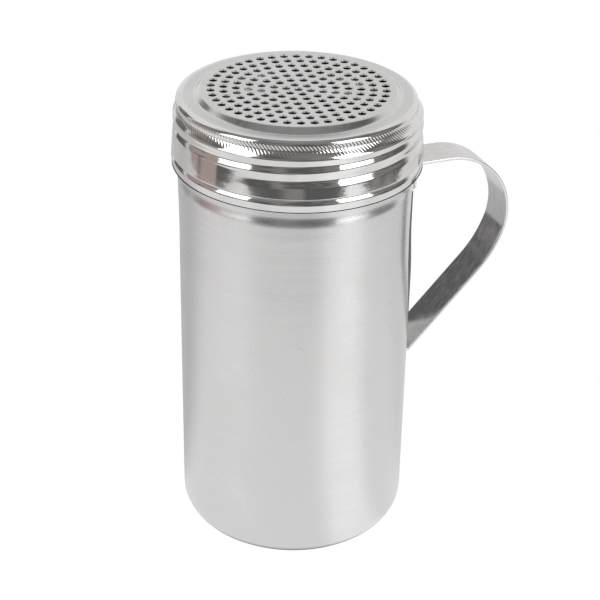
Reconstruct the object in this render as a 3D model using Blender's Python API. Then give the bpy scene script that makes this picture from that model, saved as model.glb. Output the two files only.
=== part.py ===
"""Stainless steel dredge: a drawn can, a perforated screw lid and a bent strap handle.

Metres, +Z up. The can stands on the XY plane with its axis on Z, and the handle points to +X.
"""

from math import atan2, cos, floor, hypot, pi, radians, sin

import bmesh
import bpy
from mathutils import Matrix, Vector

# Driving dimensions of the can
BODY_RADIUS = 0.03725
CAN_WALL = 0.0007
CORNER_RADIUS = 0.0085  # outside, between the wall and the base
NECK_INSET = 0.00075  # from the body's wall to the root of the neck's thread
SHOULDER_DROP = 0.0012  # height of the slope between body and neck

# Driving dimensions of the lid
OVERALL_HEIGHT = 0.1524
LID_SHEET = 0.0005
PLATEAU_STEP = 0.0017  # drop from the plateau to the flat ring around it
STEP_WIDTH = 0.0018
FLAT_RING_WIDTH = 0.00368
SHOULDER_RADIUS = 0.0028
SKIRT_HEIGHT = 0.0235  # from the plateau down to the lower edge
HEM_FLARE = 0.0005  # how far the hem stands out past the thread's crests
HEM_HEIGHT = 0.0039
HEM_THICKNESS = 0.0011

# Driving dimensions of the perforation
HOLE_RADIUS = 0.0012
HOLE_MARGIN = 0.00212  # from the outermost holes to the plateau's rim
HOLE_RINGS = 7
HOLE_TURN = radians(-33)  # of the row that all rings share, from the handle
HOLE_SIDES = 8

# Driving dimensions of the thread, rolled into both the neck and the skirt
THREAD_PITCH = 0.0046
LID_GROOVE_DEPTH = 0.00047
NECK_RIDGE_HEIGHT = 0.00115
RIDGE_HALF_WIDTH = 0.0018
THREAD_CLEARANCE = 0.00033  # between the neck's ridge and the lid's groove
THREAD_LEAD_IN = 0.0047  # from the lid's lower edge up to the groove's lower end
LID_THREAD_TURNS = 2.35
NECK_THREAD_TURNS = 1.9
THREAD_FADE = 0.09  # share of a turn in which a thread sinks into the sheet
THREAD_START_ANGLE = radians(-129)  # of the groove's lower end, from the handle

# Driving dimensions of the handle
STRAP_WIDTH = 0.013
STRAP_THICKNESS = 0.001
STRAP_BELOW_LID = 0.0049  # from the lid's lower edge down to the upper run
UPPER_RUN_REACH = 0.01315  # from the can's wall out to where the grip's bend begins
GRIP_RADIUS = 0.0229
GRIP_TURN = radians(111)
REAR_RADIUS = 0.0381
REAR_TURN = radians(22.3)
SHARP_RADIUS = 0.0022  # outside, at the two tight bends beside the can
TAB_LENGTH = 0.0095  # from the upper run's outer face down to the tab's end
LEG_DROP = 0.003  # from the upper run's outer face down to the leg's end

GAP = 0.0003  # between neighbouring pieces
WELD_DISTANCE = 0.000001  # points closer than this are one point
SEGMENTS = 48  # around the can and the lid
ROWS_PER_PITCH = 6  # of points down a threaded wall
FULL_TURN = 2 * pi

# Places that follow from the sizes above
LID_EDGE = OVERALL_HEIGHT - SKIRT_HEIGHT
NECK_RADIUS = BODY_RADIUS - NECK_INSET
COLLAR_RADIUS = NECK_RADIUS + NECK_RIDGE_HEIGHT + THREAD_CLEARANCE + LID_SHEET
LID_RADIUS = COLLAR_RADIUS + LID_GROOVE_DEPTH  # outside, at the crests of the rolled thread
HEM_RADIUS = LID_RADIUS + HEM_FLARE
ROUND_CENTRE_RADIUS = COLLAR_RADIUS - SHOULDER_RADIUS
PLATEAU_RADIUS = ROUND_CENTRE_RADIUS - FLAT_RING_WIDTH - STEP_WIDTH
HOLE_PITCH = (PLATEAU_RADIUS - HOLE_MARGIN - HOLE_RADIUS) / HOLE_RINGS
LID_THREAD_START = LID_EDGE + THREAD_LEAD_IN
ROW_SPACING = THREAD_PITCH / ROWS_PER_PITCH
STRAP_TOP = LID_EDGE - STRAP_BELOW_LID  # height of the upper run's outer face


def clear_scene():
    for thing in list(bpy.data.objects):
        bpy.data.objects.remove(thing)


def steel(name, colour, roughness):
    """A stainless finish: a Principled material with a metallic value of 1."""
    material = bpy.data.materials.new(name)
    material.use_nodes = True
    shader = material.node_tree.nodes["Principled BSDF"]
    shader.inputs["Base Color"].default_value = (*colour, 1)
    shader.inputs["Metallic"].default_value = 1
    shader.inputs["Roughness"].default_value = roughness
    return material


def add_object(name, mesh_builder, material):
    """Turn a bmesh into a named object with outward faces."""
    bmesh.ops.recalc_face_normals(mesh_builder, faces=mesh_builder.faces)
    mesh = bpy.data.meshes.new(name)
    mesh_builder.to_mesh(mesh)
    mesh_builder.free()
    mesh.materials.append(material)
    thing = bpy.data.objects.new(name, mesh)
    bpy.context.collection.objects.link(thing)
    return thing


def arc(centre, radius, start, end, steps):
    """Points (distance from the axis, height) on an arc, both ends included."""
    angles = [start + (end - start) * i / steps for i in range(steps + 1)]
    return [(centre[0] + radius * cos(a), centre[1] + radius * sin(a)) for a in angles]


def rows(radius, top, bottom):
    """Points straight down a wall that a thread is rolled into, both ends included."""
    count = floor((top - bottom) / ROW_SPACING) + 1
    return [(radius, top + (bottom - top) * i / count) for i in range(count + 1)]


def turn(outline):
    """Spin a closed outline of (radius, height) about Z, and cap it flat where it meets the axis.

    The outline's first and last points are the rims of the two flat caps.
    """
    bm = bmesh.new()
    verts = [bm.verts.new((r, 0, z)) for r, z in outline]
    edges = [bm.edges.new(pair) for pair in zip(verts, verts[1:])]
    bmesh.ops.spin(
        bm,
        geom=verts + edges,
        cent=(0, 0, 0),
        axis=(0, 0, 1),
        angle=FULL_TURN,
        steps=SEGMENTS,
    )
    bmesh.ops.remove_doubles(bm, verts=bm.verts, dist=WELD_DISTANCE)
    rims = [e for e in bm.edges if e.is_boundary]
    bmesh.ops.holes_fill(bm, edges=rims, sides=SEGMENTS)
    return bm


def thread_share(angle, height, start_height, turns):
    """How far a right-handed bead stands at a point of the wall, from 0 to 1.

    The bead's centre line climbs one pitch a turn. Across it, the bead is a raised cosine.
    """
    around = (angle - THREAD_START_ANGLE) / FULL_TURN % 1
    climb = (height - start_height) / THREAD_PITCH
    place = around + round(climb - around)
    offset = (climb - place) * THREAD_PITCH
    if not 0 < place < turns or abs(offset) >= RIDGE_HALF_WIDTH:
        return 0
    fade = min(1, place / THREAD_FADE, (turns - place) / THREAD_FADE)
    return fade * cos(pi / 2 * offset / RIDGE_HALF_WIDTH) ** 2


def roll_thread(bm, depth, start_height, turns, inner_radius):
    """Move the wall in or out along the helix. Both faces of the sheet move alike."""
    for vert in bm.verts:
        radius = hypot(vert.co.x, vert.co.y)
        if radius < inner_radius:
            continue
        angle = atan2(vert.co.y, vert.co.x)
        share = thread_share(angle, vert.co.z, start_height, turns)
        vert.co.xy *= (radius + depth * share) / radius


def make_can(material):
    """The can: one deep-drawn cup with a rounded foot and a thread rolled into its neck."""
    shoulder = LID_EDGE + GAP
    mouth = OVERALL_HEIGHT - PLATEAU_STEP - LID_SHEET - GAP
    neck_foot = shoulder + SHOULDER_DROP

    corner = (BODY_RADIUS - CORNER_RADIUS, CORNER_RADIUS)
    outside = arc(corner, CORNER_RADIUS, -pi / 2, 0, 6)
    outside += [(BODY_RADIUS, shoulder)]
    outside += rows(NECK_RADIUS, mouth, neck_foot)[::-1]
    inside = rows(NECK_RADIUS - CAN_WALL, mouth, neck_foot)
    inside += [(BODY_RADIUS - CAN_WALL, shoulder)]
    inside += arc(corner, CORNER_RADIUS - CAN_WALL, 0, -pi / 2, 6)
    bm = turn(outside + inside)

    # The ridge lies half a pitch above the lid's groove, so it fills the crest between two grooves
    start = LID_THREAD_START + THREAD_PITCH / 2
    inner_limit = NECK_RADIUS - 2 * CAN_WALL
    roll_thread(bm, NECK_RIDGE_HEIGHT, start, NECK_THREAD_TURNS, inner_limit)
    return add_object("can", bm, material)


def lid_outline():
    """The pressed sheet's section, from the plateau's rim down the outside and back up the inside."""
    ring = OVERALL_HEIGHT - PLATEAU_STEP
    hem_top = LID_EDGE + HEM_HEIGHT
    round_centre = (ROUND_CENTRE_RADIUS, ring - SHOULDER_RADIUS)
    thread_top = round_centre[1] - THREAD_PITCH / 3

    outside = [
        (PLATEAU_RADIUS, OVERALL_HEIGHT),
        (PLATEAU_RADIUS + STEP_WIDTH, ring),
    ]
    outside += arc(round_centre, SHOULDER_RADIUS, pi / 2, 0, 5)
    outside += rows(LID_RADIUS, thread_top, hem_top)
    curl = (HEM_RADIUS - HEM_THICKNESS / 2, LID_EDGE + HEM_THICKNESS / 2)
    outside += [(HEM_RADIUS, hem_top - LID_SHEET)]
    outside += arc(curl, HEM_THICKNESS / 2, 0, -pi, 6)

    inner = LID_RADIUS - LID_SHEET
    inside = [(HEM_RADIUS - HEM_THICKNESS, hem_top - LID_SHEET)]
    inside += rows(inner, thread_top, hem_top)[::-1]
    inside += arc(round_centre, SHOULDER_RADIUS - LID_SHEET, 0, pi / 2, 5)
    inside += [
        (PLATEAU_RADIUS + STEP_WIDTH - LID_SHEET / 2, ring - LID_SHEET),
        (PLATEAU_RADIUS - LID_SHEET / 2, OVERALL_HEIGHT - LID_SHEET),
    ]
    return outside + inside


def hole_centres():
    """A hole in the middle, then rings of 6, 12, 18 and so on, one pitch apart."""
    centres = [(0, 0)]
    for ring in range(1, HOLE_RINGS + 1):
        for i in range(6 * ring):
            angle = HOLE_TURN + FULL_TURN * i / (6 * ring)
            centres.append((ring * HOLE_PITCH * cos(angle), ring * HOLE_PITCH * sin(angle)))
    return centres


def make_hole_cutter():
    """Every punch of the perforation as one guide object."""
    bm = bmesh.new()
    middle = OVERALL_HEIGHT - LID_SHEET / 2
    for x, y in hole_centres():
        bmesh.ops.create_cone(
            bm,
            cap_ends=True,
            segments=HOLE_SIDES,
            radius1=HOLE_RADIUS,
            radius2=HOLE_RADIUS,
            depth=4 * LID_SHEET,
            matrix=Matrix.Translation((x, y, middle)),
        )
    cutter = add_object("hole_punches", bm, steel("punch", (0.5, 0.5, 0.5), 0.5))
    cutter.hide_render = True
    cutter.display_type = "WIRE"
    return cutter


def make_lid(material):
    """The lid: one pressed cap with a perforated plateau, a rolled thread and a hemmed edge."""
    bm = turn(lid_outline())
    inner_face = LID_RADIUS - 2 * LID_SHEET
    roll_thread(bm, -LID_GROOVE_DEPTH, LID_THREAD_START, LID_THREAD_TURNS, inner_face)
    lid = add_object("lid", bm, material)
    punch = lid.modifiers.new("perforation", "BOOLEAN")
    punch.operation = "DIFFERENCE"
    punch.object = make_hole_cutter()
    return lid


def strap_path():
    """The strap's middle line, walked clockwise from the tab's lower end.

    Returns (point, direction) pairs, where a point is (distance from the can's axis, height).
    """
    half = STRAP_THICKNESS / 2
    sharp = SHARP_RADIUS - half
    leg = BODY_RADIUS + GAP + half
    tab = leg + STRAP_THICKNESS + GAP
    path = []
    heading = pi / 2
    place = Vector((tab, STRAP_TOP - TAB_LENGTH))

    def straight(length):
        nonlocal place
        path.append((place.copy(), heading))
        place = place + length * Vector((cos(heading), sin(heading)))
        path.append((place.copy(), heading))

    def bend(radius, angle, steps):
        nonlocal place, heading
        centre = place + radius * Vector((sin(heading), -cos(heading)))
        for _ in range(steps):
            heading -= angle / steps
            place = centre - radius * Vector((sin(heading), -cos(heading)))
            path.append((place.copy(), heading))

    straight(TAB_LENGTH - half - sharp)
    bend(sharp, pi / 2, 6)
    straight(BODY_RADIUS + UPPER_RUN_REACH - tab - sharp)
    bend(GRIP_RADIUS - half, GRIP_TURN, 16)
    bend(REAR_RADIUS - half, REAR_TURN, 4)
    # The lower run stops where a tight bend from it ends upright, on the leg's line
    bend_start = leg + sharp * (1 - sin(heading))
    straight((place.x - bend_start) / -cos(heading))
    bend(sharp, heading + 1.5 * pi, 8)
    straight(STRAP_TOP - LEG_DROP - place.y)
    return path


def make_handle(material):
    """The handle: one flat strap bent into a closed loop, with its tab lapped over its leg."""
    bm = bmesh.new()
    half = STRAP_THICKNESS / 2
    left, right = [], []
    for place, heading in strap_path():
        side = half * Vector((-sin(heading), cos(heading)))
        if left and (place + side - left[-1]).length < half / 10:
            continue
        left.append(place + side)
        right.append(place - side)
    verts = [bm.verts.new((p.x, -STRAP_WIDTH / 2, p.y)) for p in left + right[::-1]]
    count = len(left)
    quads = [(i, i + 1, 2 * count - 2 - i, 2 * count - 1 - i) for i in range(count - 1)]
    faces = [bm.faces.new([verts[i] for i in quad]) for quad in quads]
    extruded = bmesh.ops.extrude_face_region(bm, geom=faces)["geom"]
    moved = [v for v in extruded if isinstance(v, bmesh.types.BMVert)]
    bmesh.ops.translate(bm, verts=moved, vec=(0, STRAP_WIDTH, 0))
    return add_object("handle", bm, material)


def shade(thing, sharp_angle):
    thing.data.shade_smooth()
    thing.data.set_sharp_from_angle(angle=sharp_angle)


clear_scene()
brushed = steel("brushed_steel", (0.62, 0.61, 0.60), 0.38)
polished = steel("polished_steel", (0.66, 0.65, 0.64), 0.14)
strap_steel = steel("strap_steel", (0.55, 0.54, 0.53), 0.30)

can = make_can(brushed)
lid = make_lid(polished)
handle = make_handle(strap_steel)
for piece in (can, lid, handle):
    shade(piece, radians(40))
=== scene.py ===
import bmesh
import bpy
import numpy as np
from mathutils import Matrix
from mathutils.geometry import delaunay_2d_cdt


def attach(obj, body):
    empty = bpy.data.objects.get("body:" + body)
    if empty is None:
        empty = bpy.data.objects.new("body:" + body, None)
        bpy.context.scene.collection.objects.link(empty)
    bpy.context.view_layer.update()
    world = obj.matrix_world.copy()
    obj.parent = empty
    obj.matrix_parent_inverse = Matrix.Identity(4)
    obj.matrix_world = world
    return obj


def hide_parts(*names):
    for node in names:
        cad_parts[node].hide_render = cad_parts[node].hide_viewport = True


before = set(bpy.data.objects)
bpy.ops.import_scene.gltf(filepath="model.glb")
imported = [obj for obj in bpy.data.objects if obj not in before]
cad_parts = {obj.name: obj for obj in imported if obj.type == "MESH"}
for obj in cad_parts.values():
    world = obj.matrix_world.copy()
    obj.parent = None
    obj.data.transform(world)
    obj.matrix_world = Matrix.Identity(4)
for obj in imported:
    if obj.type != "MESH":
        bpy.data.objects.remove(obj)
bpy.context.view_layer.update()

mm = 0.001


# The can
# One cup, deep-drawn from a single sheet of stainless steel, so its foot is rounded in one curve with
# the wall. It was brushed around its axis on a lathe, and a screw thread was rolled into its neck.
BODY_RADIUS = 37.25 * mm
WALL = 0.7 * mm
FOOT_RADIUS = 8.5 * mm
UPPER_WALL = 119 * mm
LID_EDGE = 128.9 * mm
SHOULDER = LID_EDGE + 0.3 * mm
SHOULDER_ROUND = 0.5 * mm
NECK_FOOT = SHOULDER + 1.2 * mm
NECK_RADIUS = 36.5 * mm
NECK_TOP = 146.7 * mm
NECK_TOP_INSIDE = 146.5 * mm
NECK_TOP_ROUND = 0.8 * mm
MOUTH_FOOT = 147.7 * mm
MOUTH_FOOT_INSIDE = 147.5 * mm
MOUTH = 149.1 * mm
MOUTH_RADIUS = 35.9 * mm
MOUTH_ROUND = 0.3 * mm

# The neck's rolled thread.
THREAD_PITCH = 4.6 * mm
THREAD_HALF_WIDTH = 1.8 * mm
NECK_THREAD_ANGLE = np.radians(-129)
NECK_RIDGE = 0.95 * mm
NECK_THREAD_START = 135.9 * mm
NECK_THREAD_TURNS = 1.9
THREAD_FADE_SHARE = 0.09

# The wall's faint waves and step under the lid, in millimetres up the wall and outwards.
WALL_HEIGHTS = (95, 106, 113.4, 120.3, 122.8, 126.3)
WALL_OFFSETS = (0, -0.08, 0, 0.14, 0.18, -0.28)
WAVE_FADE = 0.6 * mm

# The flattened seat of the handle, in degrees round the can from the middle of the handle's leg.
SEAT_LOW = 68 * mm
SEAT_HIGH = 102 * mm
SEAT_DEPTH = 1.3 * mm
SEAT_FADE = 5 * mm
SEAT_SIDES = (72, 24)
UNDER_LEG_SIDES = (10, 30)
UNDER_LEG_SHARE = 0.31

# How far apart the rows of the can's skin lie, and the steps of arcs.
FLAT_ROWS = 6 * mm
WALL_ROWS = 2 * mm
UPPER_ROWS = 0.3 * mm
SHOULDER_ROWS = 0.5 * mm
NECK_ROWS = 0.25 * mm
MOUTH_ROWS = 0.3 * mm
INSIDE_ROWS = 0.6 * mm
CAN_COLUMNS = 192
ARC_STEP = np.radians(9)
NEARLY_STRAIGHT = 0.01
MERGE_DISTANCE = 0.001 * mm
SHARP_ANGLE = np.radians(35)


def rounded_line(corners):
    """Points along a line through (radius, height, rounding, spacing) corners.

    A rounding f at a corner that turns by t touches both sides f tan(t/2) away from the corner. The
    part up to the next corner is then sampled at most one spacing apart, by length along the line.
    """
    place = np.array([c[:2] for c in corners], float)
    pieces = [place[:1]]
    for before, here, after, (_, _, rounding, _) in zip(place, place[1:], place[2:], corners[1:]):
        back = (before - here) / np.linalg.norm(before - here)
        on = (after - here) / np.linalg.norm(after - here)
        half_turn = (np.pi - np.arccos(np.clip(back @ on, -1, 1))) / 2
        if rounding == 0 or half_turn < NEARLY_STRAIGHT:
            pieces.append(here[None])
            continue
        inward = (back + on) / np.linalg.norm(back + on)
        centre = here + inward * rounding / np.cos(half_turn)
        start = here + back * rounding * np.tan(half_turn) - centre
        first = np.arctan2(start[1], start[0])
        way = np.sign(back[1] * on[0] - back[0] * on[1])
        steps = max(3, int(np.ceil(2 * half_turn / ARC_STEP)))
        angles = first + way * 2 * half_turn * np.linspace(0, 1, steps + 1)
        pieces.append(centre + rounding * np.stack((np.cos(angles), np.sin(angles)), 1))
    pieces.append(place[-1:])
    joined = [pieces[0]]
    for piece, corner in zip(pieces[1:], corners):
        start, end = joined[-1][-1], piece[0]
        count = int(np.linalg.norm(end - start) / corner[3])
        share = np.linspace(0, 1, count + 2)[1:-1, None]
        joined += [start + (end - start) * share, piece]
    return np.concatenate(joined)


def turned_grid(line, columns, push):
    """Points (r cos a, r sin a, z) for every point (r, z) of a line and every angle a = 2 pi j / columns.

    push(r, z, a) is a small move outwards that is added to the radius.
    """
    radius, height = line[:, :1], line[:, 1:]
    angle = np.arange(columns)[None] * 2 * np.pi / columns
    moved = radius + push(radius, height, angle)
    return np.stack((moved * np.cos(angle), moved * np.sin(angle), height + 0 * angle), -1)


def ring_quads(rows, columns, first=0):
    """Faces between neighbouring rows of a grid that closes on itself, numbered from `first`."""
    row, column = np.meshgrid(np.arange(rows - 1), np.arange(columns), indexing="ij")
    here, beside = first + row * columns, (column + 1) % columns
    above = here + columns
    return np.stack((here + column, here + beside, above + beside, above + column), -1).reshape(-1, 4)


def pole_fan(pole, first, columns, outward):
    """Triangles from one point to a ring of points, closing a turned surface at its axis."""
    column = np.arange(columns)
    beside = (column + 1) % columns
    ends = (first + beside, first + column) if outward else (first + column, first + beside)
    return np.stack((np.full(columns, pole), *ends), 1)


def add_piece(name, points, faces, material, body, nodes):
    """Put points and faces into a new object that rides a CAD body and stands for CAD nodes."""
    mesh = bpy.data.meshes.new(name)
    corners = [face for group in faces for face in group.tolist()]
    mesh.from_pydata(np.asarray(points, float).reshape(-1, 3), [], corners)
    merged = bmesh.new()
    merged.from_mesh(mesh)
    bmesh.ops.remove_doubles(merged, verts=merged.verts, dist=MERGE_DISTANCE)
    merged.to_mesh(mesh)
    merged.free()
    mesh.shade_smooth()
    mesh.set_sharp_from_angle(angle=SHARP_ANGLE)
    mesh.materials.append(material)
    piece = bpy.data.objects.new(name, mesh)
    bpy.context.scene.collection.objects.link(piece)
    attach(piece, body)
    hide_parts(*nodes)


def smooth(value, low, high):
    """3 s^2 - 2 s^3, where s is how far the value has come from low to high."""
    share = np.clip((value - low) / (high - low), 0, 1)
    return share * share * (3 - 2 * share)


def smooth_steps(height, heights, offsets):
    """A value that goes smoothly from one offset to the next between heights, all given in millimetres."""
    value = 0 * height
    for low, high, start, end in zip(heights, heights[1:], offsets, offsets[1:]):
        value = value + (end - start) * mm * smooth(height, low * mm, high * mm)
    return value


def thread_share(angle, height, start, centre, turns, widening=1.0):
    """A right-handed bead, from 0 to 1: cos^2 across its width, sinking into the sheet at both ends.

    centre(u) is the height of the bead's middle line u turns from its lower end.
    """
    around = (angle - start) / (2 * np.pi) % 1
    share = 0 * (around + height)
    for lap in range(int(np.ceil(turns)) + 1):
        u = around + lap
        offset = np.clip((height - centre(u)) / (widening * THREAD_HALF_WIDTH), -1, 1)
        fade = smooth(np.minimum(u, turns - u), 0, THREAD_FADE_SHARE)
        share = np.maximum(share, fade * np.cos(np.pi / 2 * offset) ** 2)
    return share


def neck_thread_height(u):
    """The ridge's middle line climbs by one pitch in each turn."""
    return NECK_THREAD_START + THREAD_PITCH * u


def handle_seat(height, angle):
    """How far welding has flattened the wall: a depth times a window round the can and one up it.

    Round the can it is nothing far from the leg, full beside the leg and a smaller share under it. Up
    the wall it grows from nothing at SEAT_LOW to full at SEAT_HIGH, and it ends at the shoulder.
    """
    aside = np.degrees(np.abs((angle + np.pi) % (2 * np.pi) - np.pi))
    beside = UNDER_LEG_SHARE + (1 - UNDER_LEG_SHARE) * smooth(aside, *UNDER_LEG_SIDES)
    window = smooth(aside, *SEAT_SIDES) * beside
    on_wall = smooth(height, SHOULDER, SHOULDER - SEAT_FADE)
    return SEAT_DEPTH * window * on_wall * smooth(height, SEAT_LOW, SEAT_HIGH)


def can_push(radius, height, angle):
    """On the neck, the ridge's height times its share; on the wall, its waves less the handle's seat.

    Both faces of the sheet move alike. The middle of the base, near the axis, isn't moved.
    """
    ridge = thread_share(angle, height, NECK_THREAD_ANGLE, neck_thread_height, NECK_THREAD_TURNS)
    wave = smooth_steps(height, WALL_HEIGHTS, WALL_OFFSETS)
    wave = wave * smooth(height, SHOULDER + WAVE_FADE, SHOULDER - WAVE_FADE)
    push = np.where(height > NECK_FOOT, NECK_RIDGE * ridge, wave - handle_seat(height, angle))
    return np.where(radius > MOUTH_RADIUS - 2 * WALL, push, 0)


# Node helpers and the shared steel effects, which all three pieces use. Noise scales are per metre.
FINE_GRAIN = 2600.0
COARSE_GRAIN = 700.0
FINE_SHARE = 0.6
GRAIN_TONE = (0.36, 0.64)
SMUDGES = 60.0
SMUDGE_TONE = (0.40, 0.66)
SCRATCHES = ((90.0, 0.6), (130.0, 2.1))
SCRATCH_DRAW = (1.0, 0.16, 0.5)
SCRATCH_WIDTH = 0.0035
SCRATCH_PLACES = 210.0
SCRATCH_PLACE_TONE = (0.58, 0.66)
SCRATCH_DEPTH = 0.02 * mm


def add_node(tree, kind, links=(), **settings):
    """A shader node with its settings, and its inputs set to values or joined to other nodes' outputs."""
    node = tree.nodes.new(kind)
    for key, value in settings.items():
        setattr(node, key, value)
    for socket, source in dict(links).items():
        if isinstance(source, bpy.types.NodeSocket):
            tree.links.new(source, node.inputs[socket])
        else:
            node.inputs[socket].default_value = source
    return node


def calc(tree, operation, first, second=0.0):
    """The output of a Math node."""
    return add_node(tree, "ShaderNodeMath", {0: first, 1: second}, operation=operation).outputs[0]


def weighted_sum(tree, parts, constant=0.0):
    """The sum of each part times its weight, and a constant."""
    total = constant
    for value, weight in parts:
        total = calc(tree, "ADD", total, calc(tree, "MULTIPLY", value, weight))
    return total


def fit(tree, value, low, high, to_low=0.0, to_high=1.0):
    """A value taken from the range low..high to another range, with soft ends."""
    links = {"Value": value, "From Min": low, "From Max": high, "To Min": to_low, "To Max": to_high}
    return add_node(tree, "ShaderNodeMapRange", links, interpolation_type="SMOOTHSTEP").outputs[0]


def distance_from(tree, value, middle):
    """The absolute difference of a value and a middle."""
    return calc(tree, "ABSOLUTE", calc(tree, "SUBTRACT", value, middle))


def noise(tree, vector, scale, detail=2.0, roughness=0.5, distortion=0.0):
    """The value of a Noise texture, from about 0.3 to 0.7."""
    links = {"Vector": vector, "Scale": scale, "Detail": detail, "Roughness": roughness}
    return add_node(tree, "ShaderNodeTexNoise", {**links, "Distortion": distortion}).outputs[0]


def stretched(tree, vector, scale):
    """Coordinates stretched by a factor along each axis."""
    links = {0: vector, 1: scale}
    return add_node(tree, "ShaderNodeVectorMath", links, operation="MULTIPLY").outputs[0]


def length_of(tree, vector):
    """The length of a vector."""
    return add_node(tree, "ShaderNodeVectorMath", {0: vector}, operation="LENGTH").outputs["Value"]


def new_group(name, inputs, outputs):
    """An empty shader node group with float and vector sockets; returns it, its inputs and its outputs."""
    group = bpy.data.node_groups.new(name, "ShaderNodeTree")
    for direction, sockets in (("INPUT", inputs), ("OUTPUT", outputs)):
        for socket_name, kind, value in sockets:
            kind = "NodeSocket" + kind
            socket = group.interface.new_socket(socket_name, in_out=direction, socket_type=kind)
            if value is not None:
                socket.default_value = value
    given, wanted = group.nodes.new("NodeGroupInput"), group.nodes.new("NodeGroupOutput")
    return group, given.outputs, wanted.inputs


def make_brush_grain():
    """Fine scratches of a brush. Noise is squeezed across the grain, so that it draws out along it."""
    group, given, wanted = new_group(
        "brush_grain",
        [("Vector", "Vector", None), ("Squeeze", "Vector", (1, 1, 1)), ("Fineness", "Float", 1.0)],
        [("Height", "Float", None), ("Tone", "Float", None)],
    )
    squeezed = stretched(group, given["Vector"], given["Squeeze"])
    fine = noise(group, squeezed, calc(group, "MULTIPLY", given["Fineness"], FINE_GRAIN), 3.0, 0.6)
    coarse = noise(group, squeezed, calc(group, "MULTIPLY", given["Fineness"], COARSE_GRAIN), 3.0, 0.55)
    height = weighted_sum(group, ((fine, FINE_SHARE), (coarse, 1 - FINE_SHARE)))
    group.links.new(height, wanted["Height"])
    group.links.new(fit(group, coarse, *GRAIN_TONE), wanted["Tone"])
    return group


def make_handling():
    """Marks of use: soft smudges, and a few thin scratches where a warped noise crosses its mean."""
    group, given, wanted = new_group(
        "handling",
        [("Vector", "Vector", None), ("Smudge Size", "Float", 1.0)],
        [("Smudge", "Float", None), ("Scratch", "Float", None)],
    )
    place = given["Vector"]
    soft = noise(group, place, calc(group, "DIVIDE", SMUDGES, given["Smudge Size"]), 3.0, 0.55, 0.4)
    group.links.new(fit(group, soft, *SMUDGE_TONE), wanted["Smudge"])
    marks = []
    for scale, turn in SCRATCHES:
        turned = add_node(group, "ShaderNodeVectorRotate", {"Vector": place, "Angle": turn}).outputs[0]
        line = noise(group, stretched(group, turned, SCRATCH_DRAW), scale, 1.0, 0.4, 0.3)
        thin = fit(group, distance_from(group, line, 0.5), 0.0, SCRATCH_WIDTH, 1.0, 0.0)
        where = fit(group, noise(group, place, SCRATCH_PLACES, 0.0), *SCRATCH_PLACE_TONE)
        marks.append(calc(group, "MULTIPLY", thin, where))
    group.links.new(calc(group, "MAXIMUM", *marks), wanted["Scratch"])
    return group


BRUSH_GRAIN = make_brush_grain()
HANDLING = make_handling()


def start_steel(name, squeeze, fineness, smudge_size):
    """A new metal material: its tree, its shader, its Object coordinates, its grain and its marks of use."""
    material = bpy.data.materials.new(name)
    material.use_nodes = True
    tree = material.node_tree
    shader = tree.nodes["Principled BSDF"]
    shader.inputs["Metallic"].default_value = 1
    place = add_node(tree, "ShaderNodeTexCoord").outputs["Object"]
    given = {"Vector": place, "Squeeze": squeeze, "Fineness": fineness}
    grain = add_node(tree, "ShaderNodeGroup", given, node_tree=BRUSH_GRAIN).outputs
    given = {"Vector": place, "Smudge Size": smudge_size}
    marks = add_node(tree, "ShaderNodeGroup", given, node_tree=HANDLING).outputs
    return material, tree, shader, place, grain, marks


def mix_colour(tree, share, first, second):
    """A colour that goes from the first to the second as the share goes from 0 to 1."""
    links = {0: share, 6: first, 7: second}
    return add_node(tree, "ShaderNodeMix", links, data_type="RGBA").outputs[2]


def mix_value(tree, share, first, second):
    """A value that goes from the first to the second as the share goes from 0 to 1."""
    return add_node(tree, "ShaderNodeMix", {0: share, 2: first, 3: second}).outputs[0]


def bump(tree, height, strength, distance, normal=None):
    """The normal of a surface raised by a height, on top of another normal if one is given."""
    links = {"Height": height, "Strength": strength, "Distance": distance}
    if normal is not None:
        links["Normal"] = normal
    return add_node(tree, "ShaderNodeBump", links).outputs[0]


# The can's own steel.
BRUSHED_DARK = (0.645, 0.637, 0.633, 1)
BRUSHED_LIGHT = (0.68, 0.675, 0.675, 1)
BRUSHED_ROUGHNESS = 0.23
BRUSHED_STREAKS = 0.65
BRUSHED_TURN = 0.25
BRUSHED_SQUEEZE = (0.05, 0.05, 1.0)
BRUSHED_RELIEF = (0.025, 0.04 * mm)
BRUSHED_SCRATCHES = (-0.05, SCRATCH_DEPTH)


def make_brushed_steel():
    """Satin steel whose grain runs around the can, so that highlights spread up and down it."""
    material, tree, shader, _, grain, marks = start_steel("brushed_steel", BRUSHED_SQUEEZE, 1.0, 1.6)
    tone = weighted_sum(tree, ((grain["Tone"], 0.4), (marks["Smudge"], 0.6)))
    tree.links.new(mix_colour(tree, tone, BRUSHED_DARK, BRUSHED_LIGHT), shader.inputs["Base Color"])
    rough = ((grain["Tone"], 0.04), (marks["Smudge"], 0.04), (marks["Scratch"], 0.08))
    tree.links.new(weighted_sum(tree, rough, BRUSHED_ROUGHNESS), shader.inputs["Roughness"])
    shader.inputs["Anisotropic"].default_value = BRUSHED_STREAKS
    shader.inputs["Anisotropic Rotation"].default_value = BRUSHED_TURN
    tangent = add_node(tree, "ShaderNodeTangent", direction_type="RADIAL", axis="Z").outputs[0]
    tree.links.new(tangent, shader.inputs["Tangent"])
    fine = bump(tree, grain["Height"], *BRUSHED_RELIEF)
    tree.links.new(bump(tree, marks["Scratch"], *BRUSHED_SCRATCHES, fine), shader.inputs["Normal"])
    return material


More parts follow.
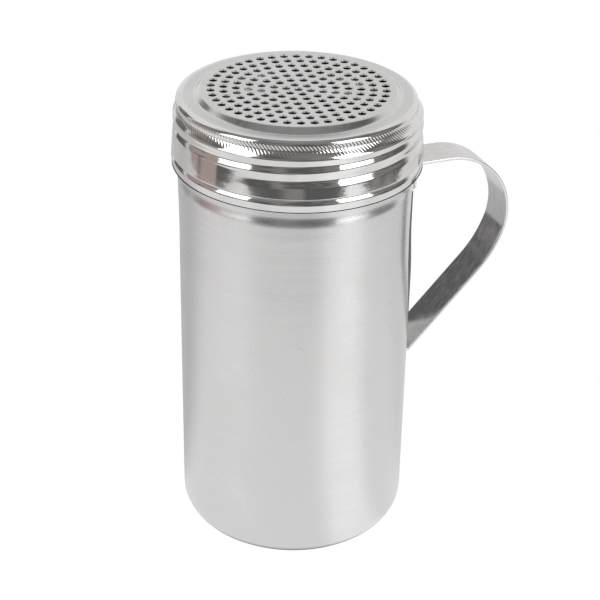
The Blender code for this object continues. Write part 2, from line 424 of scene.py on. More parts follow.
def make_can():
    """The can's closed skin: the base, the foot's curve, the wall, the neck and the mouth, then the inside."""
    line = rounded_line([
        (0, 0, 0, FLAT_ROWS),
        (BODY_RADIUS, 0, FOOT_RADIUS, WALL_ROWS),
        (BODY_RADIUS, UPPER_WALL, 0, UPPER_ROWS),
        (BODY_RADIUS, SHOULDER, SHOULDER_ROUND, SHOULDER_ROWS),
        (NECK_RADIUS, NECK_FOOT, SHOULDER_ROUND, NECK_ROWS),
        (NECK_RADIUS, NECK_TOP, NECK_TOP_ROUND, NECK_ROWS),
        (MOUTH_RADIUS, MOUTH_FOOT, NECK_TOP_ROUND, NECK_ROWS),
        (MOUTH_RADIUS, MOUTH, MOUTH_ROUND, MOUTH_ROWS),
        (MOUTH_RADIUS - WALL, MOUTH, MOUTH_ROUND, NECK_ROWS),
        (MOUTH_RADIUS - WALL, MOUTH_FOOT_INSIDE, NECK_TOP_ROUND, NECK_ROWS),
        (NECK_RADIUS - WALL, NECK_TOP_INSIDE, NECK_TOP_ROUND, NECK_ROWS),
        (NECK_RADIUS - WALL, NECK_FOOT, SHOULDER_ROUND, SHOULDER_ROWS),
        (BODY_RADIUS - WALL, SHOULDER, SHOULDER_ROUND, INSIDE_ROWS),
        (BODY_RADIUS - WALL, UPPER_WALL, 0, WALL_ROWS),
        (BODY_RADIUS - WALL, WALL, FOOT_RADIUS - WALL, FLAT_ROWS),
        (0, WALL, 0, FLAT_ROWS),
    ])
    grid = turned_grid(line[1:-1], CAN_COLUMNS, can_push)
    count = len(grid) * CAN_COLUMNS
    points = np.concatenate((grid.reshape(-1, 3), [(0, 0, 0), (0, 0, WALL)]))
    faces = (
        ring_quads(len(grid), CAN_COLUMNS),
        pole_fan(count, 0, CAN_COLUMNS, True),
        pole_fan(count + 1, count - CAN_COLUMNS, CAN_COLUMNS, False),
    )
    add_piece("drawn_can", points, faces, make_brushed_steel(), "can_body", ["can"])


make_can()


# The handle
# One strip of stainless steel, 13 mm wide and 1 mm thick, bent in a jig into a closed loop. Its leg is
# spot-welded flat to the can's wall, and the tab at its upper end is lapped over the leg and welded too.
STRAP_WIDTH = 13 * mm
STRAP_THICKNESS = 1 * mm
STRAP_TOP = 124 * mm
LEG_GAP = 0.3 * mm
SEATED_GAP = 0.12 * mm
LEAN_LOW = 84 * mm
LEAN_HIGH = 104 * mm
PRESSED = 0.88
PRESSED_REACH = 2 * mm
UPPER_RUN_END = 50.4 * mm
GRIP_RADIUS = 22.9 * mm
GRIP_TURN = np.radians(111)
REAR_RADIUS = 38.1 * mm
REAR_TURN = np.radians(22.3)
SHARP_RADIUS = 2.2 * mm
FOLD_RADIUS = 1.15 * mm
TAB_LENGTH = 9.5 * mm
LEG_DROP = 3 * mm
EDGE_ROUND = 0.3 * mm
END_ROUND = 1.6 * mm

# How far apart the strap's stations and the points across it lie.
RUN_STATIONS = 1 * mm
TAB_STATIONS = 0.2 * mm
LEG_STATIONS = 0.4 * mm
GRIP_STEP = np.radians(3)
FACE_POINTS = 0.8 * mm
EDGE_POINTS = 0.3 * mm


def strap_line():
    """The strap's middle line, as stations of (distance from the axis, height, heading).

    It walks clockwise from the tab's lower end, as straight runs and arcs: along an arc the heading
    falls evenly with length. The lower run ends where a tight fold from it comes out on the leg's line,
    and the leg then leans in with the wall's seat.
    """
    half = STRAP_THICKNESS / 2
    sharp, fold = SHARP_RADIUS - half, FOLD_RADIUS - half
    leg = BODY_RADIUS + LEG_GAP + half
    leg_top = BODY_RADIUS - UNDER_LEG_SHARE * SEAT_DEPTH + SEATED_GAP + half * PRESSED
    tab = leg_top + STRAP_THICKNESS * PRESSED + SEATED_GAP
    stations = [np.array([[tab, STRAP_TOP - TAB_LENGTH, np.pi / 2]])]

    def straight(length, spacing=RUN_STATIONS):
        """Go on along the heading: r by length x cos, z by length x sin."""
        r, z, heading = stations[-1][-1]
        way = np.linspace(0, length, max(2, int(length / spacing)) + 1)[1:]
        r, z = r + way * np.cos(heading), z + way * np.sin(heading)
        stations.append(np.stack((r, z, heading + 0 * way), 1))

    def bend(radius, angle, step=ARC_STEP):
        """Turn right: r gains radius x (sin before - sin after), z loses radius x (cos before - cos after)."""
        r, z, heading = stations[-1][-1]
        turn = np.linspace(0, angle, max(4, int(angle / step)) + 1)[1:]
        at = heading - turn
        r = r + radius * (np.sin(heading) - np.sin(at))
        z = z - radius * (np.cos(heading) - np.cos(at))
        stations.append(np.stack((r, z, at), 1))

    straight(TAB_LENGTH - half - sharp, TAB_STATIONS)
    bend(sharp, np.pi / 2)
    straight(UPPER_RUN_END - tab - sharp)
    bend(GRIP_RADIUS - half, GRIP_TURN, GRIP_STEP)
    bend(REAR_RADIUS - half, REAR_TURN, GRIP_STEP)
    r, _, heading = stations[-1][-1]
    straight((r - leg - fold * (1 - np.sin(heading))) / -np.cos(heading))
    bend(fold, heading + 1.5 * np.pi)
    straight(STRAP_TOP - LEG_DROP - stations[-1][-1][1], LEG_STATIONS)
    stations[-1][:, 0] -= (leg - leg_top) * smooth(stations[-1][:, 1], LEAN_LOW, LEAN_HIGH)
    return np.concatenate(stations)


# The strap's own steel.
STRAP_DARK = (0.55, 0.54, 0.535, 1)
STRAP_LIGHT = (0.64, 0.63, 0.625, 1)
RUBBED_EDGE = (0.74, 0.735, 0.73, 1)
RUBBED_FROM, RUBBED_TO = 0.7 * mm, 0.1 * mm
STRAP_ROUGHNESS = 0.13
STRAP_SQUEEZE = (0.5, 1.0, 0.5)
STRAP_RELIEF = (0.03, 0.03 * mm)
STRAP_SCRATCHES = (-0.3, SCRATCH_DEPTH)
PITS = 2600.0

# Painted shade of the narrow gap: a dark colour, with a rougher finish, on the edges of the leg below its tab,
# beside the wall.
PAINTED_GAP_SHADE = (0.17, 0.167, 0.163, 1)
GAP_SHADE_RIM_FROM, GAP_SHADE_RIM_TO = 0.35 * mm, 0.2 * mm
GAP_SHADE_REACH_FROM, GAP_SHADE_REACH_TO = 1.9 * mm, 1.4 * mm
GAP_SHADE_LOW_FROM, GAP_SHADE_LOW_TO = 60 * mm, 70 * mm
GAP_SHADE_HIGH_FROM, GAP_SHADE_HIGH_TO = 0.3 * mm, -0.7 * mm


def make_strap_steel():
    """Mill-finish strip: a mottled grey with grain along the strap and brighter, rubbed edges.

    The painted shade of the gap is a product of four ramps: at the strap's rim, by the wall, above a height
    and below one.
    """
    material, tree, shader, place, grain, marks = start_steel("strap_steel", STRAP_SQUEEZE, 1.1, 1.2)
    parts = add_node(tree, "ShaderNodeSeparateXYZ", {0: place}).outputs
    across, edge, tab_end = calc(tree, "ABSOLUTE", parts["Y"]), STRAP_WIDTH / 2, STRAP_TOP - TAB_LENGTH
    rubbed = fit(tree, across, edge - RUBBED_FROM, edge - RUBBED_TO)
    tone = weighted_sum(tree, ((grain["Tone"], 0.6), (marks["Smudge"], 0.4)))
    colour = mix_colour(tree, tone, STRAP_DARK, STRAP_LIGHT)
    colour = mix_colour(tree, calc(tree, "MULTIPLY", rubbed, 0.7), colour, RUBBED_EDGE)
    # Painted shade: a mask over the leg's edges beside the wall and below the tab, where the gap between leg
    # and wall is dark.
    gap_shade = fit(tree, across, edge - GAP_SHADE_RIM_FROM, edge - GAP_SHADE_RIM_TO)
    for ramp in (
        fit(tree, parts["X"], BODY_RADIUS + GAP_SHADE_REACH_FROM, BODY_RADIUS + GAP_SHADE_REACH_TO),
        fit(tree, parts["Z"], GAP_SHADE_LOW_FROM, GAP_SHADE_LOW_TO),
        fit(tree, parts["Z"], tab_end + GAP_SHADE_HIGH_FROM, tab_end + GAP_SHADE_HIGH_TO),
    ):
        gap_shade = calc(tree, "MULTIPLY", gap_shade, ramp)
    # Painted shade: the mask mixes the dark grey into the strap's colour, and below it also raises the
    # roughness.
    tree.links.new(mix_colour(tree, gap_shade, colour, PAINTED_GAP_SHADE), shader.inputs["Base Color"])
    rough = weighted_sum(tree, ((grain["Tone"], 0.04), (gap_shade, 0.3)), STRAP_ROUGHNESS)
    tree.links.new(rough, shader.inputs["Roughness"])
    pits = noise(tree, place, PITS, 2.0, 0.6)
    fine = bump(tree, weighted_sum(tree, ((grain["Height"], 0.4), (pits, 1.0))), *STRAP_RELIEF)
    tree.links.new(bump(tree, marks["Scratch"], *STRAP_SCRATCHES, fine), shader.inputs["Normal"])
    return material


def make_handle():
    """A rounded rectangle carried along the strap's middle line, with its ends rounded in plan.

    Within a rounding R of an end, the half width loses R - sqrt(R^2 - (R - distance to the end)^2).
    Where the leg and the tab lie together they are pressed a little thinner.
    """
    path = strap_line()
    half_width, half = STRAP_WIDTH / 2, STRAP_THICKNESS / 2
    section = rounded_line([
        (0, half, 0, FACE_POINTS),
        (-half_width, half, EDGE_ROUND, EDGE_POINTS),
        (-half_width, -half, EDGE_ROUND, FACE_POINTS),
        (half_width, -half, EDGE_ROUND, EDGE_POINTS),
        (half_width, half, EDGE_ROUND, FACE_POINTS),
        (0, half, 0, FACE_POINTS),
    ])[:-1]
    step = np.linalg.norm(np.diff(path[:, :2], axis=0), axis=1)
    along = np.concatenate(([0], np.cumsum(step)))
    to_end = np.minimum(along, along[-1] - along)
    inset = END_ROUND - np.sqrt(END_ROUND**2 - np.clip(END_ROUND - to_end, 0, END_ROUND) ** 2)
    by_wall = path[:, 0] < BODY_RADIUS + PRESSED_REACH
    pressed = 1 - (1 - PRESSED) * by_wall * smooth(path[:, 1], LEAN_LOW, LEAN_HIGH)
    across = section[None, :, 0] * ((half_width - inset) / half_width)[:, None]
    out = section[None, :, 1] * pressed[:, None]
    r, z, heading = path[:, :1], path[:, 1:2], path[:, 2:]
    points = np.stack((r - out * np.sin(heading), across, z + out * np.cos(heading)), -1)
    rows, columns = across.shape
    caps = (np.arange(columns)[None, ::-1], (rows - 1) * columns + np.arange(columns)[None])
    faces = (ring_quads(rows, columns), *caps)
    add_piece("strap_handle", points, faces, make_strap_steel(), "can_body", ["handle"])


make_handle()


# The lid
# One cap pressed from thin sheet. A press punched 169 holes in its plateau, and a rolling tool then made
# the slanted flutes of the grip, the screw thread and the curled hem. The skirt is polished, the top satin.
OVERALL_HEIGHT = 152.4 * mm
LID_SHEET = 0.5 * mm
PLATEAU_RADIUS = 30.2 * mm
PLATEAU_ROUND = 0.9 * mm
SHEET_EDGE = 28.9 * mm
STEP_FOOT = 32.0 * mm
STEP_ROUND = 1.3 * mm
RING_HEIGHT = 150.7 * mm
ROLL_RADIUS = 37.25 * mm
ROLL_ROUND = 1.6 * mm
ROLL_FOOT = 147.6 * mm
ROLL_FOOT_ROUND = 1.4 * mm
CREST_RADIUS = 38.78 * mm
CREST_HEIGHT = 145.45 * mm
CREST_ROUND = 1.1 * mm
BAND_TOP_RADIUS = 38.66 * mm
BAND_TOP = LID_EDGE + 11.6 * mm
BAND_ROUND = 8 * mm
SKIRT_FOOT = 133.1 * mm
INSIDE_SHIFT = 0.2 * mm
INSIDE_DROP = 0.16 * mm

# The curled hem and the fine groove above it, under the plain band.
HEM_RADIUS = 39.45 * mm
HEM_INSIDE = HEM_RADIUS - 1.3 * mm
HEM_INSIDE_TOP = LID_EDGE + 2.6 * mm
HEM_BOTTOM = HEM_RADIUS - 0.75 * mm
HEM_CORNER = HEM_RADIUS - 0.45 * mm
HEM_BULGE = LID_EDGE + 2.7 * mm
HEM_BULGE_ROUND = 2.6 * mm
HEM_GROOVE_RADIUS = HEM_RADIUS - 0.62 * mm
HEM_GROOVE = LID_EDGE + 3.76 * mm
BAND_FOOT_RADIUS = HEM_RADIUS - 0.2 * mm
BAND_FOOT = LID_EDGE + 4.25 * mm

# The rolled thread, and the slight lean of the skirt's upper half, in millimetres up it and aside.
LID_GROOVE = 0.56 * mm
GROOVE_WIDENING = 1.2
LID_THREAD_START = np.radians(-141)
LID_THREAD_TURNS = 1.5
LEAN_HEIGHTS = (141, 145.5, 149.3)
LEAN = (0, 0.2, -0.4)
LEAN_ANGLE = np.radians(-22)

# The punched holes, each with a lip as (move outwards, height), and the dish that punching left.
HOLE_RADIUS = 1.2 * mm
HOLE_PITCH = 3.84 * mm
HOLE_RINGS = 7
HOLE_TURN = np.radians(-33)
HOLE_SIDES = 20
HOLE_LIP = ((0.45, 0), (0.3, -0.01), (0.14, -0.06), (0.04, -0.15), (0, -0.27), (0, -0.5), (0.45, -0.5))
DISH = 0.5 * mm
INSIDE_ONLY = 1
SAME_SPOT = 1e-6
IN_A_HOLE = 0.99

# The rolled flutes of the grip.
FLUTES = 208
FLUTE_DEPTH = 0.10 * mm
FLUTE_LEAN = 0.85
FLUTE_LOW = 146.0 * mm
FLUTE_LOW_FADE = 1.2 * mm
FLUTE_HIGH = 149.65 * mm
FLUTE_HIGH_FADE = 0.5 * mm
COLUMNS_PER_FLUTE = 6


def lid_thread_height(u):
    """The groove's middle line. Its climb steepens to a full pitch."""
    return (138.3 + 3.9 * u + 0.7 * u * u) * mm


def lid_push(radius, height, angle):
    """Minus the groove's depth times its share, plus the lean times the cosine of the angle from it.

    Both faces of the skirt move alike. The lean fades out over the ring, and the plateau stays.
    """
    groove = thread_share(
        angle, height, LID_THREAD_START, lid_thread_height, LID_THREAD_TURNS, GROOVE_WIDENING
    )
    on_skirt = height < CREST_HEIGHT + 0.4 * mm
    lean = smooth_steps(height, LEAN_HEIGHTS, LEAN)
    outer = smooth(radius, STEP_FOOT + 1 * mm, ROLL_RADIUS - LID_SHEET)
    return np.where(on_skirt, -LID_GROOVE * groove, 0) + lean * outer * np.cos(angle - LEAN_ANGLE)


def flute_push(radius, height, angle):
    """The grip's slanted flutes: -(d/2)(1 - cos(N a + k z)), fading out at both ends of the band."""
    slant = FLUTES * FLUTE_LEAN / CREST_RADIUS
    wave = (1 - np.cos(FLUTES * angle + slant * height)) / 2
    low_end = smooth(height, FLUTE_LOW, FLUTE_LOW + FLUTE_LOW_FADE)
    high_end = smooth(height, FLUTE_HIGH, FLUTE_HIGH - FLUTE_HIGH_FADE)
    return lid_push(radius, height, angle) - FLUTE_DEPTH * wave * low_end * high_end


def bridge_faces(coarse, fine, columns, ratio, fine_on_top):
    """Triangles that join a ring of points to one with `ratio` times as many."""
    fine_count = columns * ratio
    k = np.arange(fine_count)
    nearest = coarse + ((k + ratio // 2) // ratio) % columns
    small = np.stack((nearest, fine + k, fine + (k + 1) % fine_count), 1)
    j = np.arange(columns)
    turn = fine + (j * ratio + (ratio - ratio // 2)) % fine_count
    large = np.stack((coarse + j, turn, coarse + (j + 1) % columns), 1)
    if fine_on_top:
        small, large = small[:, ::-1], large[:, ::-1]
    return small, large


def unit_circle(count):
    """Points (cos a, sin a) at a = 2 pi j / count."""
    angle = np.arange(count) * 2 * np.pi / count
    return np.stack((np.cos(angle), np.sin(angle)), 1)


def hole_centres():
    """A hole in the middle, then rings of 6, 12, 18 and so on, one pitch apart."""
    rings = np.concatenate([[0]] + [np.full(6 * k, k) for k in range(1, HOLE_RINGS + 1)])
    turns = np.concatenate([[0]] + [np.arange(6 * k) / (6 * k) for k in range(1, HOLE_RINGS + 1)])
    angle = HOLE_TURN + 2 * np.pi * turns
    return np.stack((rings * HOLE_PITCH * np.cos(angle), rings * HOLE_PITCH * np.sin(angle)), 1)


def dished(points):
    """The plateau's height, sunk by d (1 - (r/R)^2)^2 towards its middle."""
    radius = np.linalg.norm(points, axis=-1)
    return OVERALL_HEIGHT - DISH * np.clip(1 - (radius / SHEET_EDGE) ** 2, 0, 1) ** 2


def perforated_sheet(columns):
    """The plateau's sheet: each hole is a small turned lip, and triangles fill the sheet between them.

    A lip is its profile (r, z) turned round its hole's centre. The triangles join the lips' outermost
    rings and the plateau's edge in plan, lie on the dished surface, and are repeated a sheet lower.
    """
    centres = hole_centres()
    lip = np.array(HOLE_LIP) * mm
    rows = len(lip)
    radii = HOLE_RADIUS + lip[None, :, 0, None, None]
    flat = centres[:, None, None] + radii * unit_circle(HOLE_SIDES)
    height = dished(flat) + lip[None, :, 1, None]
    lips = np.concatenate((flat, height[..., None]), -1)
    faces = [ring_quads(rows, HOLE_SIDES, i * rows * HOLE_SIDES) for i in range(len(centres))]
    outline = np.concatenate((flat[:, 0].reshape(-1, 2), SHEET_EDGE * unit_circle(columns)))
    loops = [i * HOLE_SIDES + np.arange(HOLE_SIDES) for i in range(len(centres))]
    loops.append(len(centres) * HOLE_SIDES + np.arange(columns))
    edges = np.concatenate([np.stack((loop, np.roll(loop, -1)), 1) for loop in loops])
    found = delaunay_2d_cdt((outline / mm).tolist(), edges.tolist(), [], INSIDE_ONLY, SAME_SPOT)
    spots = np.array([tuple(v) for v in found[0]]) * mm
    triangles = np.array(found[2])
    middle = spots[triangles].mean(1)
    nearest = np.linalg.norm(middle[:, None] - centres[None], axis=-1).min(1)
    triangles = triangles[nearest > HOLE_RADIUS + lip[0, 0] * IN_A_HOLE]
    top = np.concatenate((spots, dished(spots)[:, None]), 1)
    bottom = top - (0, 0, LID_SHEET)
    count = lips.size // 3
    points = np.concatenate((lips.reshape(-1, 3), top, bottom))
    faces += [triangles + count, triangles[:, ::-1] + count + len(spots)]
    return points, faces


# The lid's own steel. It is polished from SKIRT_FROM outwards, and smoother on the pressed step.
SATIN_DARK = (0.60, 0.595, 0.585, 1)
SATIN_LIGHT = (0.65, 0.645, 0.64, 1)
SATIN_ROUGHNESS = 0.33
POLISHED_LIGHT = (0.70, 0.69, 0.68, 1)
POLISHED_DULL = (0.64, 0.63, 0.62, 1)
POLISHED_ROUGHNESS = 0.07
SKIRT_FROM, SKIRT_TO = 35.0 * mm, 35.9 * mm
STEP_MIDDLE = 31.2 * mm
STEP_INNER, STEP_OUTER = 0.9 * mm, 1.3 * mm
STEP_POLISH = 0.16
LID_SQUEEZE = (0.5, 0.5, 0.5)
LID_RELIEF = (0.10, 0.03 * mm)
LID_SCRATCHES = (-0.3, SCRATCH_DEPTH)
ROLLER_WAVES = 260.0
ROLLER_RELIEF = (0.10, 0.25 * mm)


def make_polished_steel():
    """Satin on top and inside, polished on the skirt, where the roller left it bright but a little wavy."""
    material, tree, shader, place, grain, marks = start_steel("polished_steel", LID_SQUEEZE, 1.2, 1.0)
    radius = length_of(tree, stretched(tree, place, (1, 1, 0)))
    skirt = fit(tree, radius, SKIRT_FROM, SKIRT_TO)
    step = fit(tree, distance_from(tree, radius, STEP_MIDDLE), STEP_INNER, STEP_OUTER, STEP_POLISH, 0.0)
    satin_rough = weighted_sum(tree, ((grain["Tone"], 0.05), (step, -1.0)), SATIN_ROUGHNESS)
    shiny_rough = ((marks["Smudge"], 0.05), (marks["Scratch"], 0.12))
    shiny_rough = weighted_sum(tree, shiny_rough, POLISHED_ROUGHNESS)
    tree.links.new(mix_value(tree, skirt, satin_rough, shiny_rough), shader.inputs["Roughness"])
    tone = weighted_sum(tree, ((grain["Tone"], 0.5), (marks["Smudge"], 0.5)))
    satin = mix_colour(tree, tone, SATIN_DARK, SATIN_LIGHT)
    shiny = mix_colour(tree, marks["Smudge"], POLISHED_LIGHT, POLISHED_DULL)
    tree.links.new(mix_colour(tree, skirt, satin, shiny), shader.inputs["Base Color"])
    wave = calc(tree, "MULTIPLY", noise(tree, place, ROLLER_WAVES), skirt)
    wavy = bump(tree, wave, *ROLLER_RELIEF)
    fine = bump(tree, grain["Height"], *LID_RELIEF, wavy)
    tree.links.new(bump(tree, marks["Scratch"], *LID_SCRATCHES, fine), shader.inputs["Normal"])
    return material


def make_lid():
    """The lid's closed skin: the inside going down, the curled hem, the skirt going up, and the plateau.

    The band of flutes has COLUMNS_PER_FLUTE columns for each column of the rest.
    """
    inner = LID_SHEET
    inside = rounded_line([
        (SHEET_EDGE, OVERALL_HEIGHT - inner, 0, 1 * mm),
        (PLATEAU_RADIUS - INSIDE_SHIFT, OVERALL_HEIGHT - inner, 0.8 * mm, 0.4 * mm),
        (STEP_FOOT - INSIDE_SHIFT, RING_HEIGHT - inner, 1.2 * mm, 1 * mm),
        (ROLL_RADIUS - inner, RING_HEIGHT - inner, ROLL_ROUND - inner, 0.6 * mm),
        (ROLL_RADIUS - inner, ROLL_FOOT - INSIDE_DROP, 1 * mm, 0.6 * mm),
        (CREST_RADIUS - inner, CREST_HEIGHT - INSIDE_DROP, 0.8 * mm, 0.5 * mm),
        (CREST_RADIUS - inner, SKIRT_FOOT, 0.4 * mm, 0.5 * mm),
        (HEM_INSIDE, HEM_INSIDE_TOP, 0, 0.5 * mm),
        (HEM_INSIDE, LID_EDGE, 0.5 * mm, 0.3 * mm),
        (HEM_RADIUS, LID_EDGE, 0.55 * mm, 0.3 * mm),
    ])[:-1]
    outside = rounded_line([
        (HEM_BOTTOM, LID_EDGE, 0, 0.3 * mm),
        (HEM_CORNER, LID_EDGE, 0.25 * mm, 0.3 * mm),
        (HEM_RADIUS, HEM_BULGE, HEM_BULGE_ROUND, 0.25 * mm),
        (HEM_GROOVE_RADIUS, HEM_GROOVE, 0.1 * mm, 0.12 * mm),
        (BAND_FOOT_RADIUS, BAND_FOOT, 0.25 * mm, 0.2 * mm),
        (BAND_TOP_RADIUS, BAND_TOP, BAND_ROUND, 0.25 * mm),
        (CREST_RADIUS, CREST_HEIGHT, CREST_ROUND, 0.2 * mm),
        (ROLL_RADIUS, ROLL_FOOT, ROLL_FOOT_ROUND, 0.2 * mm),
        (ROLL_RADIUS, RING_HEIGHT, ROLL_ROUND, 0.2 * mm),
        (STEP_FOOT, RING_HEIGHT, STEP_ROUND, 0.4 * mm),
        (PLATEAU_RADIUS, OVERALL_HEIGHT, PLATEAU_ROUND, 0.8 * mm),
        (SHEET_EDGE, OVERALL_HEIGHT, 0, 1 * mm),
    ])
    fine = FLUTES * COLUMNS_PER_FLUTE
    lower, fluted, upper = np.split(outside, np.searchsorted(outside[:, 1], (FLUTE_LOW, FLUTE_HIGH)))
    below = turned_grid(np.concatenate((inside, lower)), FLUTES, lid_push)
    band = turned_grid(fluted, fine, flute_push)
    above = turned_grid(upper, FLUTES, lid_push)
    first_band = below.size // 3
    first_above = first_band + band.size // 3
    faces = [
        ring_quads(len(below), FLUTES),
        *bridge_faces(first_band - FLUTES, first_band, FLUTES, COLUMNS_PER_FLUTE, True),
        ring_quads(len(band), fine, first_band),
        *bridge_faces(first_above, first_above - fine, FLUTES, COLUMNS_PER_FLUTE, False),
        ring_quads(len(above), FLUTES, first_above),
    ]
    sheet_points, sheet_faces = perforated_sheet(FLUTES)
    shift = first_above + above.size // 3
    points = np.concatenate([part.reshape(-1, 3) for part in (below, band, above, sheet_points)])
    faces += [group + shift for group in sheet_faces]
    add_piece("screw_lid", points, faces, make_polished_steel(), "lid_body", ["lid"])


make_lid()


# The studio
# A pale table under a white backdrop that curves up behind it, with the dark of the room on the camera's
# side and two tall softboxes in it, left and right, which the polished skirt mirrors as white patches.
VIEW_TURN = np.radians(-22)
VIEW_DISTANCE = 474.55 * mm
VIEW_HEIGHT = 344.32 * mm
VIEW_DOWN = 0.51134
VIEW_ASIDE = 0.00354
VIEW_ROLL = 0.0191
LENS = 99.72
SENSOR_WIDTH = 36
NEAR_CLIP = 0.01


def direction(angle, up):
    """A unit vector at an angle to the right of the camera's side of the object, and an angle up."""
    turn = VIEW_TURN - np.pi / 2 + angle
    return np.array((np.cos(turn) * np.cos(up), np.sin(turn) * np.cos(up), np.sin(up)))


def aim(columns, place):
    """A matrix from three axes and a place."""
    matrix = np.eye(4)
    matrix[:3, :3] = np.stack(columns, 1)
    matrix[:3, 3] = place
    return Matrix(matrix.tolist())


def make_camera():
    """The photograph's view: VIEW_DOWN radians downwards, with a slight roll, as fitted to the holes."""
    camera = bpy.data.objects.new("camera", bpy.data.cameras.new("camera"))
    camera.data.lens = LENS
    camera.data.sensor_width = SENSOR_WIDTH
    camera.data.clip_start = NEAR_CLIP
    ahead = -direction(-VIEW_ASIDE, VIEW_DOWN)
    right = np.cross(ahead, (0, 0, 1))
    right /= np.linalg.norm(right)
    up = np.cross(right, ahead)
    rolled_right = np.cos(VIEW_ROLL) * right + np.sin(VIEW_ROLL) * up
    rolled_up = np.cos(VIEW_ROLL) * up - np.sin(VIEW_ROLL) * right
    place = VIEW_DISTANCE * direction(0, 0) + (0, 0, VIEW_HEIGHT)
    camera.matrix_world = aim((rolled_right, rolled_up, -ahead), place)
    bpy.context.scene.collection.objects.link(camera)
    bpy.context.scene.camera = camera


SOFTBOX_DISTANCE = 1.32
SOFTBOX_WIDTH = 0.73
SOFTBOX_HEIGHT = 1.53
SOFTBOX_MIDDLE = 0.805
SOFTBOXES = (("softbox_left", np.radians(-57), 2.3), ("softbox_right", np.radians(52), 3.2))


def make_softbox(name, angle, radiance):
    """An upright area lamp that faces the object's axis. Its power is radiance x pi x area."""
    lamp = bpy.data.lights.new(name, "AREA")
    lamp.shape = "RECTANGLE"
    lamp.size, lamp.size_y = SOFTBOX_WIDTH, SOFTBOX_HEIGHT
    lamp.energy = radiance * np.pi * SOFTBOX_WIDTH * SOFTBOX_HEIGHT
    softbox = bpy.data.objects.new(name, lamp)
    back, up = direction(angle, 0), np.array((0, 0, 1))
    place = back * SOFTBOX_DISTANCE + up * SOFTBOX_MIDDLE
    softbox.matrix_world = aim((np.cross(up, back), up, back), place)
    softbox.visible_camera = False
    bpy.context.scene.collection.objects.link(softbox)


def angle_aside(tree, vector):
    """The angle of a direction, in radians to the right of the camera's side of the object."""
    links = {"Vector": vector, "Angle": float(np.pi / 2 - VIEW_TURN)}
    turned = add_node(tree, "ShaderNodeVectorRotate", links).outputs[0]
    sides = add_node(tree, "ShaderNodeSeparateXYZ", {0: turned}).outputs
    return calc(tree, "ARCTAN2", sides["Y"], sides["X"])


# The table's size in metres, its white as the steel sees it, less what it loses at the far left and
# right, with a glare at the right, and the shade under the can's rounded foot.
FLOOR_FRONT = 0.36
FLOOR_SIDE = 0.4
FLOOR_BACK = 2.5
TABLE_COLOUR = (0.8, 0.8, 0.8, 1)
TABLE_WHITE = 1.04
WHITE_SHARE = 0.95
DIM_LEFT, DIM_LEFT_BY = np.radians((-86, -122)), 0.36
DIM_RIGHT, DIM_RIGHT_BY = np.radians((90, 122)), 0.16
GLARE_MIDDLE, GLARE_SIDES, GLARE_BY = np.radians(43), np.radians((27, 9)), 0.18
FOOT_SHADE_FROM, FOOT_SHADE_TO, FOOT_SHADE = BODY_RADIUS - 4.5 * mm, BODY_RADIUS - 0.8 * mm, 0.1


def make_floor():
    """A pale table top, whose front edge is near the camera, so that steel that tilts up mirrors the room.

    It shows white to the camera and to the steel, and keeps the object's soft shadow.
    """
    front, right = direction(0, 0), direction(np.pi / 2, 0)
    mesh = bpy.data.meshes.new("floor")
    corners = [
        front * forward + right * sideways
        for forward, sideways in ((FLOOR_FRONT, -FLOOR_SIDE), (FLOOR_FRONT, FLOOR_SIDE),
                                  (-FLOOR_BACK, FLOOR_SIDE), (-FLOOR_BACK, -FLOOR_SIDE))
    ]
    mesh.from_pydata(corners, [], [(0, 1, 2, 3)])
    material = bpy.data.materials.new("pale_table")
    material.use_nodes = True
    tree = material.node_tree
    tree.nodes.remove(tree.nodes["Principled BSDF"])
    path = add_node(tree, "ShaderNodeLightPath").outputs
    straight = calc(tree, "MAXIMUM", path["Is Camera Ray"], path["Is Transmission Ray"])
    seen = calc(tree, "MAXIMUM", straight, path["Is Glossy Ray"])
    place = add_node(tree, "ShaderNodeTexCoord").outputs["Object"]
    angle = angle_aside(tree, place)
    dim_left = fit(tree, angle, *DIM_LEFT, 0.0, DIM_LEFT_BY)
    dim_right = fit(tree, angle, *DIM_RIGHT, 0.0, DIM_RIGHT_BY)
    glare = fit(tree, distance_from(tree, angle, GLARE_MIDDLE), *GLARE_SIDES, 0.0, GLARE_BY)
    tone = weighted_sum(tree, ((dim_left, -1.0), (dim_right, -1.0), (glare, 1.0)), 1.0)
    shade = fit(tree, length_of(tree, place), FOOT_SHADE_FROM, FOOT_SHADE_TO, FOOT_SHADE, 1.0)
    tone = mix_value(tree, straight, calc(tree, "MULTIPLY", tone, shade), TABLE_WHITE)
    matt = add_node(tree, "ShaderNodeBsdfDiffuse", {"Color": TABLE_COLOUR}).outputs[0]
    white = add_node(tree, "ShaderNodeEmission", {"Color": tone, "Strength": 1.0}).outputs[0]
    share = calc(tree, "MULTIPLY", seen, WHITE_SHARE)
    surface = add_node(tree, "ShaderNodeMixShader", {0: share, 1: matt, 2: white}).outputs[0]
    tree.links.new(surface, tree.nodes["Material Output"].inputs["Surface"])
    mesh.materials.append(material)
    floor = bpy.data.objects.new("floor", mesh)
    bpy.context.scene.collection.objects.link(floor)


# The room's colours, and where they begin and end: angles aside and up, in radians.
BACKDROP = (0.95, 0.95, 0.95, 1)
BACKDROP_SIDES, BACKDROP_TOP = np.radians((106, 118)), np.radians((60, 48))
DOORWAY_MIDDLE = np.radians(-128)
DOORWAY_SIDES, DOORWAY_TOP = np.radians((13, 9)), np.radians((30, 26))
CEILING, CEILING_EDGE = (0.33, 0.33, 0.33, 1), np.radians((50, 70))
ROOM_DARK, ROOM_LIGHT = (0.13, 0.13, 0.13, 1), (0.28, 0.275, 0.27, 1)
ROOM_BLOTCHES, ROOM_BLOTCH_TONE = 2.2, (0.4, 0.6)
WARM, WARM_TONE, WARM_TOP = (0.46, 0.38, 0.36, 1), (0.36, 0.44), np.radians((24, 10))
WARM_NEAR_SIDE, WARM_FAR_SIDE = np.radians((-68, -76)), np.radians((-112, -104))


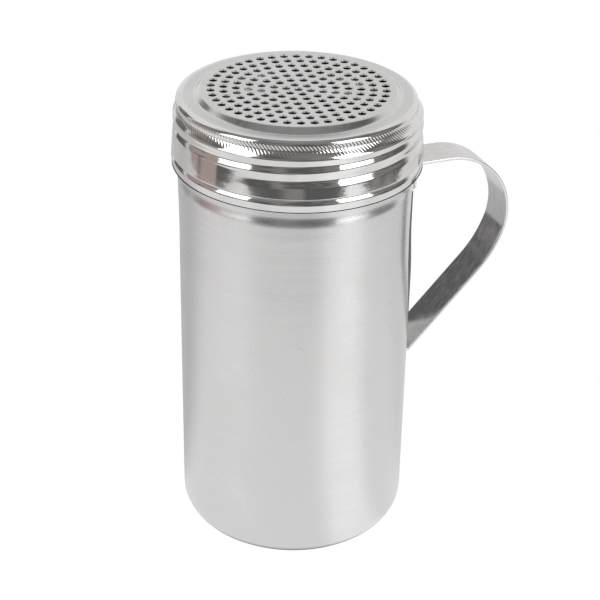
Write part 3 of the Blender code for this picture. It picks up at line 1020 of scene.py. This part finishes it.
def make_room():
    """What lies around the table, by direction: white backdrop behind, dark room in front, soft overhead.

    At the left the backdrop has a dark doorway, and the room has warm patches. The camera sees white.
    """
    world = bpy.data.worlds.new("studio")
    bpy.context.scene.world = world
    world.use_nodes = True
    tree = world.node_tree
    facing = add_node(tree, "ShaderNodeTexCoord").outputs["Generated"]
    angle = angle_aside(tree, facing)
    up = calc(tree, "ARCSINE", add_node(tree, "ShaderNodeSeparateXYZ", {0: facing}).outputs["Z"])
    doorway = fit(tree, distance_from(tree, angle, DOORWAY_MIDDLE), *DOORWAY_SIDES)
    doorway = calc(tree, "MULTIPLY", doorway, fit(tree, up, *DOORWAY_TOP))
    backdrop = fit(tree, calc(tree, "ABSOLUTE", angle), *BACKDROP_SIDES)
    backdrop = calc(tree, "MULTIPLY", backdrop, fit(tree, up, *BACKDROP_TOP))
    backdrop = calc(tree, "MULTIPLY", backdrop, calc(tree, "SUBTRACT", 1.0, doorway))
    blotch = noise(tree, facing, ROOM_BLOTCHES)
    dark = mix_colour(tree, fit(tree, blotch, *ROOM_BLOTCH_TONE), ROOM_DARK, ROOM_LIGHT)
    warm = calc(tree, "MULTIPLY", fit(tree, angle, *WARM_NEAR_SIDE), fit(tree, blotch, *WARM_TONE))
    warm = calc(tree, "MULTIPLY", warm, fit(tree, up, *WARM_TOP))
    warm = calc(tree, "MULTIPLY", warm, fit(tree, angle, *WARM_FAR_SIDE))
    colour = mix_colour(tree, warm, dark, WARM)
    colour = mix_colour(tree, fit(tree, up, *CEILING_EDGE), colour, CEILING)
    colour = mix_colour(tree, backdrop, colour, BACKDROP)
    path = add_node(tree, "ShaderNodeLightPath").outputs
    straight = calc(tree, "MAXIMUM", path["Is Camera Ray"], path["Is Transmission Ray"])
    colour = mix_colour(tree, straight, colour, (1, 1, 1, 1))
    tree.links.new(colour, tree.nodes["Background"].inputs["Color"])
    tree.nodes["Background"].inputs["Strength"].default_value = 1.0


make_camera()
for softbox in SOFTBOXES:
    make_softbox(*softbox)
make_floor()
make_room()
bpy.context.scene.view_settings.view_transform = "Standard"
